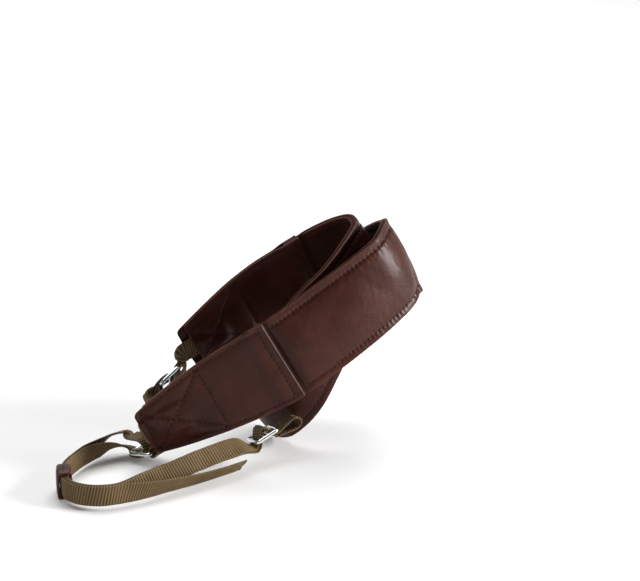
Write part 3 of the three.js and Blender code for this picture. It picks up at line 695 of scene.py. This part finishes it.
# Stitches: short arched lengths of thread
def add_stitches(name, parts, length, radius):
    """One mesh of stitches from parts, each with centres, directions and ups."""
    centres, directions, ups = (np.concatenate([part[k] for part in parts]) for k in range(3))
    shares = np.array([-1.0, -0.82, -0.3, 0.3, 0.82, 1.0])
    radii = radius * np.array([0.25, 0.8, 1.0, 1.0, 0.8, 0.25])
    heights = radius * np.array([-1.5, -0.5, 0.25, 0.25, -0.5, -1.5])
    angles = ring_angles(THREAD_SIDES)
    sides = unit(np.cross(directions, ups))
    verts = (centres[:, None, None] + directions[:, None, None] * (shares * length / 2)[None, :, None, None]
             + ups[:, None, None] * (heights[:, None] + radii[:, None] * np.sin(angles))[None, :, :, None]
             + sides[:, None, None] * (radii[:, None] * np.cos(angles))[None, :, :, None])
    points = len(shares) * THREAD_SIDES
    base = grid_faces(len(shares), THREAD_SIDES)
    base += [list(range(THREAD_SIDES))[::-1], list(range(points - THREAD_SIDES, points))]
    faces = [[points * i + v for v in face] for i in range(len(centres)) for face in base]
    add_mesh(name, verts.reshape(-1, 3), faces, THREAD)


def stitch_frames(distances, across, height, in_band):
    """Centres, directions and ups of stitches on the band, from places and directions in its flat."""
    points, tangents, width, normal = band.frames(distances)
    side = np.sign(height)[:, None]
    centres = points + width * across[:, None] + normal * height[:, None]
    directions = unit(tangents * in_band[:, :1] + width * in_band[:, 1:])
    return centres, directions, normal * side


rng = np.random.RandomState(7)
count = int((band.length - 2 * TAB_LENGTH - 2 * ROW_END_GAP) / STITCH_PITCH)
first = math.ceil((TAB_LENGTH + ROW_END_GAP) / STITCH_PITCH)
row = (first + 0.5 + np.arange(count)) * STITCH_PITCH
for side, name in ((1, "cover_stitches"), (-1, "lining_stitches")):
    parts = []
    for edge in (-1, 1):
        across = np.full(count, edge * (BAND_WIDTH / 2 - STITCH_INSET)) + rng.normal(0, 0.05, count)
        level, skin = layer_levels(row)
        height = side * (level + skin + crown_at(row, across) - STITCH_SINK)
        slant = np.stack([np.ones(count), edge * side * 0.1 + rng.normal(0, 0.03, count)], axis=1)
        parts.append(stitch_frames(row, across, height, slant))
    add_stitches(name, parts, STITCH_LENGTH, STITCH_RADIUS)

for end in ("a", "b"):
    for side, name in ((1, f"tab_{end}_face_stitches"), (-1, f"tab_{end}_back_stitches")):
        parts = []
        for line in tab_rows:
            places, heading = along_rows(line, TAB_STITCH_PITCH)
            if side < 0:
                keep = places[:, 0] > TAB_BACK_INSET + TAB_BACK_STITCH_GAP
                places, heading = places[keep], heading[keep]
            distances = places[:, 0] if end == "a" else band.length - places[:, 0]
            heading = heading if end == "a" else heading * [-1, 1]
            level = tab_level(places[:, 0], places[:, 1]) + TAB_LEATHER
            heading = unit(heading + rng.normal(0, 0.03, heading.shape))
            height = side * (level - TAB_STITCH_SINK)
            parts.append(stitch_frames(distances, places[:, 1], height, heading))
        add_stitches(name, parts, STITCH_LENGTH, TAB_STITCH_RADIUS)


# Wire sliders
def slider_frame(middle, run, bars):
    """A slider's middle, the way it runs, the way its bars lie and its normal."""
    along_run = unit(np.array(run, float))
    bars = np.array(bars, float)
    width = unit(bars - (bars @ along_run) * along_run)
    return middle, along_run, width, np.cross(along_run, width)


def add_slider(name, slider, node):
    """A bent frame of round wire with a bar across its middle."""
    middle, run, width, normal = slider
    corners = [(1, 1, 0), (-1, 1, 90), (-1, -1, 180), (1, -1, 270)]
    path, outward = [], []
    for x, y, begin in corners:
        for angle in np.radians(begin + np.linspace(0, 90, 9)):
            ray = np.array([math.cos(angle), math.sin(angle)])
            path.append(np.array([x * (BAR_PITCH - SLIDER_BEND), y * (RAIL_ACROSS - SLIDER_BEND)])
                        + ray * SLIDER_BEND)
            outward.append(ray)
    path, outward = np.array(path), np.array(outward)
    angles = ring_angles(16)
    reach = WIRE_RADIUS * np.cos(angles)
    lift = WIRE_RADIUS * np.sin(angles)
    flat = path[:, None] + outward[:, None] * reach[None, :, None]
    verts = (middle + flat[..., :1] * run + flat[..., 1:] * width + lift[None, :, None] * normal)
    faces = grid_faces(len(path), len(angles), True)
    points = [verts.reshape(-1, 3)]
    start = verts.shape[0] * verts.shape[1]
    at = RAIL_ACROSS * np.array([-1, -0.9, -0.8, -0.6, 0, 0.6, 0.8, 0.9, 1])
    radii = WIRE_RADIUS * np.array([0.95, 0.98, 0.93, 0.92, 0.92, 0.92, 0.93, 0.98, 0.95])
    bar = (middle + at[:, None, None] * width + (radii[:, None] * np.cos(angles))[..., None] * run
           - (radii[:, None] * np.sin(angles))[..., None] * normal)
    points.append(bar.reshape(-1, 3))
    faces += [[start + v for v in face] for face in grid_faces(len(at), len(angles))]
    add_mesh(name, np.concatenate(points), faces, WIRE, nodes=[node])


end_a = band.frames(np.array([0.0]))[0][0]
end_b = band.frames(np.array([band.length]))[0][0]
end_slider_a = slider_frame(end_a + [-1.3, 19.8, -16.3], (0.84, -0.53, 0.15), (0.52, 0.85, 0.08))
lug_slider_a = slider_frame(end_a + [58.3, 16.1, -6.7], (0.8, 0.46, 0.39), (-0.41, 0.89, -0.2))
end_slider_b = slider_frame(end_b + [-8.6, -9.6, -13.2], (0.66, 0.55, 0.51), (-0.03, 0.7, -0.72))
lug_slider_b = slider_frame(end_b + [13.1, -28.6, -23.4], (1, 0, 0), (0, 0, 1))
for name, slider in (("end_slider_a", end_slider_a), ("lug_slider_a", lug_slider_a),
                     ("end_slider_b", end_slider_b), ("lug_slider_b", lug_slider_b)):
    add_slider(f"wire_{name}", slider, name)

# Stations of the tapes as shares of each loop's sizes: x, y, z, lean and, on trunk A, spring
LOOP_A = np.array([50.0, 60.0, 20.0])
TRUNK_A = [
    [-0.25, 0.41, -0.84, 82, 6.5], [-0.36, 0.37, -0.78, 60, 5], [-0.48, 0.27, -0.755, 25, 2.5],
    [-0.62, 0.14, -0.75, 4, 0.6], [-0.72, -0.05, -0.75, 0, 0], [-0.77, -0.22, -0.75, 0, 0],
    [-0.765, -0.4, -0.75, 0, 0], [-0.7, -0.57, -0.75, 0, 0], [-0.55, -0.68, -0.75, 0, 0],
    [-0.35, -0.705, -0.75, 0, 0], [-0.165, -0.65, -0.75, 0, 0],
]
UPPER_A = [
    [0.03, -0.53, -0.665, 8], [0.27, -0.373, -0.59, 17], [0.54, -0.215, -0.465, 20],
    [0.81, -0.04, -0.38, 35], [0.96, 0.08, -0.4, 60],
]
FREE_A = [
    [0.03, -0.56, -0.775, -15], [0.27, -0.42, -0.8, -30], [0.55, -0.25, -0.825, -38],
    [0.81, -0.07, -0.835, -42], [0.96, 0.045, -0.835, -42],
]
LOOP_B = np.array([20.0, 26.0, 24.0])
TRUNK_B = [
    [-0.82, -0.63, -0.8, -45], [-0.92, -0.77, -0.89, -25], [-0.86, -0.92, -0.955, -10],
    [-0.645, -1, -0.975, 0], [-0.345, -1.013, -0.975, 0], [-0.045, -1.013, -0.975, 0],
]
UPPER_B = [[0.13, -1.013, -0.975, 0]]
FREE_B = [[0.13, -1.06, -0.97, 0], [0.38, -1.28, -0.94, 0], [0.755, -1.38, -0.9, 0], [1.45, -1.4, -0.85, 0]]


def loop_stations(end, size, *tables):
    rows = [row for rows in tables for row in rows]
    points = np.array([row[:3] for row in rows]) * size + end
    return stations_of(points, [row[3] for row in rows], np.array([0.0, 0.0, 1.0]))


def slider_station(slider, forward, height):
    middle, run, width, normal = slider
    return middle + run * forward + normal * height, width, normal


def weave(under, over):
    """Places along a slider: under its outer bars and over the middle one."""
    rows = [(-BAR_PITCH, -under), (0, over), (BAR_PITCH, -under)]
    return [(bar + edge, height) for bar, height in rows for edge in (-1, 1)]


def through_lug(slider):
    """Through a slider, round the bight that goes through the lug, and back."""
    low = THREAD_OFFSET + LANE_PITCH
    level = -(THREAD_OFFSET + low) / 2
    far = BAR_PITCH + BIGHT_REACH
    near = far - BIGHT_RADIUS
    bight = [(near, level - BIGHT_RADIUS), (far, level), (near, level + BIGHT_RADIUS)]
    lanes = weave(low, THREAD_OFFSET) + bight + weave(THREAD_OFFSET, low)[::-1]
    return [slider_station(slider, forward, height) for forward, height in lanes]


def round_end_slider(slider, spring):
    """Round the middle bar, with the returning layer standing off by a spring."""
    before = -BAR_PITCH - 2 * WIRE_RADIUS
    places = [(before, -THREAD_OFFSET), (0, -THREAD_OFFSET), (THREAD_OFFSET, 0),
              (0, THREAD_OFFSET + 0.7 * spring), (before, THREAD_OFFSET + spring)]
    return [slider_station(slider, forward, height) for forward, height in places]


def tape_stations(to_lug, to_free, springs, lug_slider, end_slider, tuck):
    """From the tucked start to the lug, back round the slider at the leather, and to the free end."""
    springs = springs + [0] * (len(to_free) - len(springs))
    return (lane(to_lug[tuck:], lambda i: -TAPE_PITCH) + through_lug(lug_slider) + to_lug[::-1]
            + round_end_slider(end_slider, max(springs[0] - TAPE_PITCH, 0))
            + lane(to_free, lambda i: TAPE_PITCH + springs[i]))


def add_tape(name, stations, node, seed):
    """Ribbed webbing along its stations, with firm selvedges and cut ends."""
    route = Route(stations)
    count = int(route.length / (RIB_PITCH / 4))
    distances = np.linspace(0, route.length, count + 1)
    half = TAPE_WIDTH / 2 + SELVEDGE_WANDER * ripple(distances, 0, seed + 1, 14.0)
    across = np.concatenate([[-0.94], np.linspace(-0.88, 0.88, 15), [0.94]])
    lift = np.where(np.abs(across) > 0.9, 0.75, 1.0)
    wave = np.cos(2 * math.pi * (distances[:, None] + RIB_SLANT * half[:, None] * across) / RIB_PITCH)
    uneven = (1 + RIB_UNEVENNESS * ripple(distances, 0, seed, 9.0))[:, None]
    deep = (TAPE_THICKNESS / 2 + RIB_DEPTH * (wave - 0.4) * uneven) * lift
    low = np.stack([half[:, None] * across, -deep], axis=-1)
    high = np.stack([half[:, None] * across[::-1], deep[:, ::-1]], axis=-1)
    rim = np.full(len(half), SELVEDGE_HEIGHT)
    edge = np.stack([np.stack([half, -rim], -1), np.stack([half, rim], -1)], axis=1)
    other = edge[:, ::-1] * [-1, 1]
    sections = np.concatenate([low, edge, high, other], axis=1)
    ends = np.repeat(wave[:, -1:], 2, axis=1), np.repeat(wave[:, :1], 2, axis=1)
    waves = np.hstack([wave, ends[0], wave[:, ::-1], ends[1]])
    # Painted shade: the hollows between the ribs are marked to take the shaded tone, and the cut ends are
    # darkened.
    hollow = np.clip(0.42 - 0.62 * waves, 0, 1)
    cut = np.exp(-np.minimum(distances, route.length - distances) / 0.8)[:, None]
    add_loft(name, route, distances, sections, WEBBING, np.maximum(hollow, cut), [node])


to_lug_a = loop_stations(end_a, LOOP_A, TRUNK_A, UPPER_A)
to_free_a = loop_stations(end_a, LOOP_A, TRUNK_A, FREE_A)
to_lug_b = loop_stations(end_b, LOOP_B, TRUNK_B, UPPER_B)
to_free_b = loop_stations(end_b, LOOP_B, TRUNK_B, FREE_B)
springs_a = [row[4] for row in TRUNK_A]
add_tape("webbing_tape_a", tape_stations(to_lug_a, to_free_a, springs_a, lug_slider_a, end_slider_a, 5),
         "tape_a", 51)
add_tape("webbing_tape_b", tape_stations(to_lug_b, to_free_b, [], lug_slider_b, end_slider_b, 3),
         "tape_b", 61)


def add_hanger(name, end, between, slider, pull, node, seed):
    """The folded strip that is sewn in the tab and goes round the slider's last bar."""
    out_of_end = -1 if end == "a" else 1
    depths = np.array([HANGER_INSET, HANGER_INSET / 2, TAB_BACK_INSET + GAP])
    points, _, width, normal = band.frames(depths if end == "a" else band.length - depths)
    inside = [(p, w, n * out_of_end) for p, w, n in zip(points, width, normal)]
    cos, sin = math.cos(math.radians(pull)), math.sin(math.radians(pull))

    def at_bar(away, aside):
        return slider_station(slider, BAR_PITCH + away * cos - aside * sin, away * sin + aside * cos)

    def spread(i):
        return TAPE_PITCH / 2 + max(i + 1 - len(inside), 0) * HANGER_SPREAD

    square = at_bar(0, 1)[0] - at_bar(0, 0)[0]
    facing = 1 if between[-1][2] @ square >= 0 else -1
    arriving = at_bar(THREAD_OFFSET + 3 * WIRE_RADIUS, 0)
    path = inside + between + [(arriving[0], arriving[1], square * facing)]
    round_bar = [at_bar(-THREAD_OFFSET * math.cos(angle), -THREAD_OFFSET * facing * math.sin(angle))
                 for angle in np.radians([-90, -45, 0, 45, 90])]
    back = lane(path, lambda i: -spread(i))[::-1]
    add_tape(name, lane(path, spread) + round_bar + back, node, seed)


# Places of the hangers between the leather and the slider, from each end of the band
BETWEEN_A = np.array([[0.8, 1.1, 0.5], [0.1, 3.8, 0.3], [1, 7.5, -2.8], [3.5, 11.5, -7.5]])
BETWEEN_B = np.array([[-1.7, -0.9, -1.1], [-2.5, -2, -4]])
between_a = stations_of(end_a + BETWEEN_A, [0, 5, 25, 50], coil_up)
between_b = stations_of(end_b + BETWEEN_B, [-14, 10], coil_up)
add_hanger("webbing_hanger_a", "a", between_a, end_slider_a, 50, "hanger_a", 71)
add_hanger("webbing_hanger_b", "b", between_b, end_slider_b, 20, "hanger_b", 81)


# Keepers
def rounded_section(half, deep, corner):
    """A rectangle with rounded corners and faintly bowed sides."""
    pairs = []
    for x, y, begin in ((1, -1, 270), (1, 1, 0), (-1, 1, 90), (-1, -1, 180)):
        for angle in np.radians(begin + np.linspace(0, 90, 6)):
            pairs.append([x * (half - corner) + corner * math.cos(angle),
                          y * (deep - corner) + corner * math.sin(angle)])
        if y == x:
            pairs.append([0, y * (deep + KEEPER_BOW)])
    return np.array(pairs)


# Sections of a keeper: share of its half length, and share of the way from its outside to its inside
KEEPER_ROWS = np.array([
    [-1, 0.42], [-0.995, 0.22], [-0.975, 0.08], [-0.94, 0], [0, 0], [0.94, 0], [0.975, 0.08], [0.995, 0.22],
    [1, 0.42], [1, 0.7], [0.97, 1], [0, 1], [-0.97, 1], [-1, 0.7],
])
KEEPER_STITCHES = np.array([-3.4, -0.8, 1.8, 4.2])


def add_keeper(name, stations, place, node):
    """A short leather sleeve with rounded rims, sewn together on its side."""
    route = Route(stations)
    middle = route.distance_of(place)
    half = TAPE_WIDTH / 2 + KEEPER_SIDE_GAP
    outer = rounded_section(half + KEEPER_LEATHER, KEEPER_HALF_DEPTH + KEEPER_LEATHER, KEEPER_CORNERS[0])
    hollow = rounded_section(half, KEEPER_HALF_DEPTH, KEEPER_CORNERS[1])
    reach = KEEPER_LENGTH / 2
    distances = middle + reach * KEEPER_ROWS[:, 0]
    blend = KEEPER_ROWS[:, 1, None, None]
    sections = outer * (1 - blend) + hollow * blend
    points, _, width, normal = route.frames(distances)
    verts = points[:, None] + width[:, None] * sections[..., :1] + normal[:, None] * sections[..., 1:]
    rings, count = sections.shape[:2]
    # The rims take the lightened edge colour: partly scuffing, partly a painted highlight.
    wear_and_painted_light = 0.5 * np.exp(-(reach - np.abs(distances - middle)) / 0.3)[:, None] * np.ones(count)
    add_mesh(name, verts.reshape(-1, 3), grid_faces(rings, count, True), COVER,
             wear_and_painted_light=wear_and_painted_light.ravel(), nodes=[node])
    points, tangents, width, _ = route.frames(middle + KEEPER_STITCHES)
    for side, word in ((-1, "left"), (1, "right")):
        centres = points + width * side * (half + KEEPER_LEATHER - KEEPER_STITCH_SINK)
        add_stitches(f"{name}_stitches_{word}", [(centres, tangents, width * side)],
                     KEEPER_STITCH_LENGTH, KEEPER_STITCH_RADIUS)


add_keeper("leather_keeper_a", to_lug_a, 6.1, "keeper_a")
add_keeper("leather_keeper_b", to_lug_b, 4.15, "keeper_b")

# Floor, lights and camera, in metres
FLOOR_REACH = 3.0
FLOOR_GAP = 0.0002
LIGHT_AIM = Vector((-0.06, 0.0, -0.03))
CAMERA_PLACE = (-0.03195, -0.86324, 0.26882)
CAMERA_TILT = 73

floor_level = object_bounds()[0].z
floor_corners = [(x * FLOOR_REACH, y * FLOOR_REACH, 0) for x, y in ((-1, -1), (1, -1), (1, 1), (-1, 1))]
floor_mesh = bpy.data.meshes.new("floor")
floor_mesh.from_pydata(floor_corners, [], [(0, 1, 2, 3)])
floor = bpy.data.objects.new("floor", floor_mesh)
floor.location = (0, 0, floor_level - FLOOR_GAP)
bpy.context.scene.collection.objects.link(floor)
floor_material, floor_tree, floor_bsdf, _ = start_material("pale_floor")
connect(floor_tree, floor_bsdf, Base_Color=(0.93, 0.93, 0.93, 1), Roughness=0.9)
floor_mesh.materials.append(floor_material)

world = bpy.data.worlds.new("studio")
bpy.context.scene.world = world
world.use_nodes = True
sky = world.node_tree
direction = add_node(sky, "ShaderNodeTexCoord").outputs["Generated"]
height = add_node(sky, "ShaderNodeSeparateXYZ", Vector=direction).outputs["Z"]
glow = add_node(sky, "ShaderNodeMapRange", {"interpolation_type": "SMOOTHSTEP"}, Value=height, From_Min=0.1,
                From_Max=0.4, To_Min=0.85, To_Max=0.12)
connect(sky, sky.nodes["Background"], Color=(1, 1, 1, 1), Strength=glow.outputs["Result"])


def add_light(name, location, size, energy):
    data = bpy.data.lights.new(name, "AREA")
    data.size = size
    data.energy = energy
    light = bpy.data.objects.new(name, data)
    light.location = location
    light.rotation_euler = (LIGHT_AIM - Vector(location)).to_track_quat("-Z", "Y").to_euler()
    bpy.context.scene.collection.objects.link(light)


add_light("overhead", (-0.3, 1.2, 2.2), size=2.6, energy=76.0)
add_light("right", (0.95, -0.14, 0.3), size=0.5, energy=20.0)
add_light("fill", (-0.7, -0.95, 0.9), size=0.8, energy=1.0)

camera_data = bpy.data.cameras.new("camera")
camera_data.lens = 100
camera_data.sensor_width = 36
camera = bpy.data.objects.new("camera", camera_data)
camera.location = CAMERA_PLACE
camera.rotation_euler = (math.radians(CAMERA_TILT), 0, 0)
bpy.context.scene.collection.objects.link(camera)
bpy.context.scene.camera = camera
bpy.context.scene.view_settings.view_transform = "Standard"
